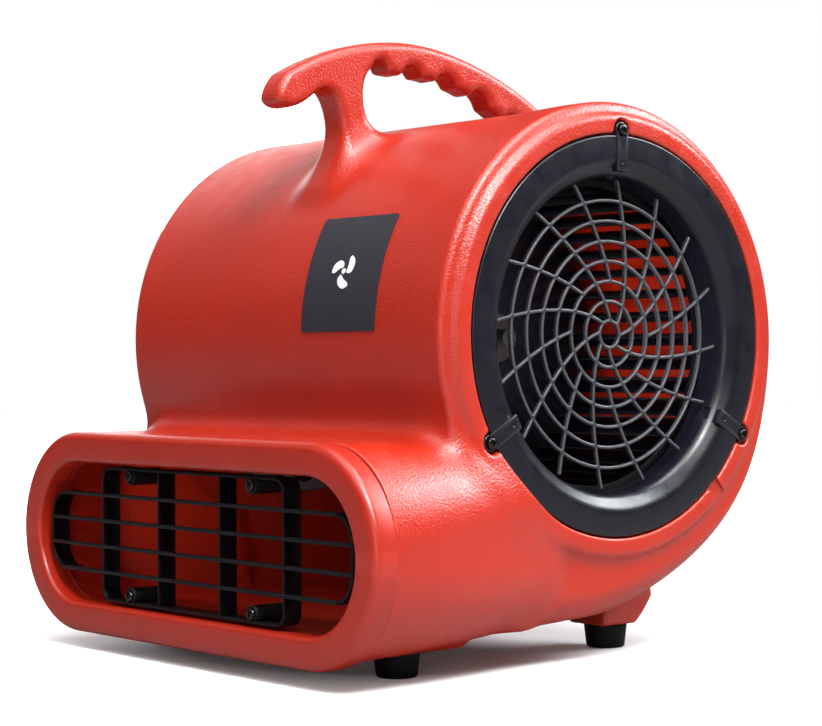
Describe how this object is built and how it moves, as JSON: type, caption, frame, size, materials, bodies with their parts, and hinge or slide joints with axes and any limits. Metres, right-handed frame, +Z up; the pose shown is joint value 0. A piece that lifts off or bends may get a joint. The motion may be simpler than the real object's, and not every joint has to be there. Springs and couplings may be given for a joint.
{
  "type": "air mover",
  "caption": "Compact centrifugal air mover: scroll housing with wide oval outlet, guarded round inlet, integral hooked handle, cord drum and rubber feet.",
  "frame": {"origin": "on the floor at the middle of the machine's width and length, 37.5 mm in front of the fan axis", "axes": "+Z up, +X out of the guarded inlet along the fan axis, -Y out of the outlet"},
  "size_m": [0.39, 0.369, 0.4067],
  "materials": {
    "red_moulded_plastic": "leather-grained rotationally moulded polyethylene, satin",
    "collar_plastic": "smoother injection-moulded plastic in the same red, satin",
    "black_plastic": "black moulded plastic, semi-gloss with a fine texture",
    "guard_plastic": "black moulded plastic ribs, satin",
    "label_film": "blank charcoal label with an embossed weave",
    "black_screws": "black zinc-plated steel, glossy",
    "bright_steel": "zinc-plated steel",
    "laminated_steel": "stacked electrical steel and machined steel",
    "motor_paint": "dark grey painted steel and cast metal",
    "copper_winding": "varnished copper wire",
    "light_grey_plastic": "light grey moulded plastic",
    "dial_aluminium": "anodised aluminium dial",
    "cord_rubber": "matt black rubber sheath",
    "foot_rubber": "black rubber, semi-matt",
    "brass": "plain brass pins"
  },
  "bodies": {
    "machine": {"capacitor": "light_grey_plastic", "capacitor_clamp": "bright_steel", "cord_gland": "black_plastic", "cover_screw_1": "black_screws", "cover_screw_2": "black_screws", "cover_screw_3": "black_screws", "dial_plate": "dial_aluminium", "foot_front_left": "foot_rubber", "foot_front_right": "foot_rubber", "foot_rear_left": "foot_rubber", "foot_rear_right": "foot_rubber", "foot_screw_front_left": "bright_steel", "foot_screw_front_right": "bright_steel", "foot_screw_rear_left": "bright_steel", "foot_screw_rear_right": "bright_steel", "front_bearing": "bright_steel", "front_end_bell": "motor_paint", "front_winding": "copper_winding", "grille_screw_1": "black_screws", "grille_screw_2": "black_screws", "grille_screw_3": "black_screws", "grille_screw_4": "black_screws", "housing": "red_moulded_plastic", "inlet_guard": "guard_plastic", "inlet_ring": "black_plastic", "inlet_screw_1": "black_screws", "inlet_screw_2": "black_screws", "inlet_screw_3": "black_screws", "label_plate": "label_film", "mains_plug": "cord_rubber", "motor_bolt_1": "bright_steel", "motor_bolt_2": "bright_steel", "motor_bolt_3": "bright_steel", "motor_can": "motor_paint", "motor_plate": "motor_paint", "motor_spacer_1": "bright_steel", "motor_spacer_2": "bright_steel", "motor_spacer_3": "bright_steel", "outlet_collar": "collar_plastic", "outlet_grille": "black_plastic", "plug_pin_earth": "brass", "plug_pin_live": "brass", "plug_pin_neutral": "brass", "power_cord": "cord_rubber", "rear_bearing": "bright_steel", "rear_end_bell": "motor_paint", "rear_winding": "copper_winding", "service_cover": "black_plastic", "speed_switch": "light_grey_plastic", "stator_core": "laminated_steel", "switch_nut": "bright_steel"},
    "rotor": {"impeller": "black_plastic", "impeller_hub": "laminated_steel", "hub_set_screw": "black_screws", "rotor_shaft": "bright_steel", "rotor_core": "laminated_steel"},
    "knob": {"speed_knob": "black_plastic"}
  },
  "joints": [
    {"name": "impeller_spin", "type": "hinge", "parent": "machine", "child": "rotor", "pos_m": [0, 0.0375, 0.207], "axis": [1, 0, 0], "continuous": true},
    {"name": "speed_knob_turn", "type": "hinge", "parent": "machine", "child": "knob", "pos_m": [-0.18, 0.0375, 0.207], "axis": [1, 0, 0], "range_deg": [0, 135]}
  ]
}
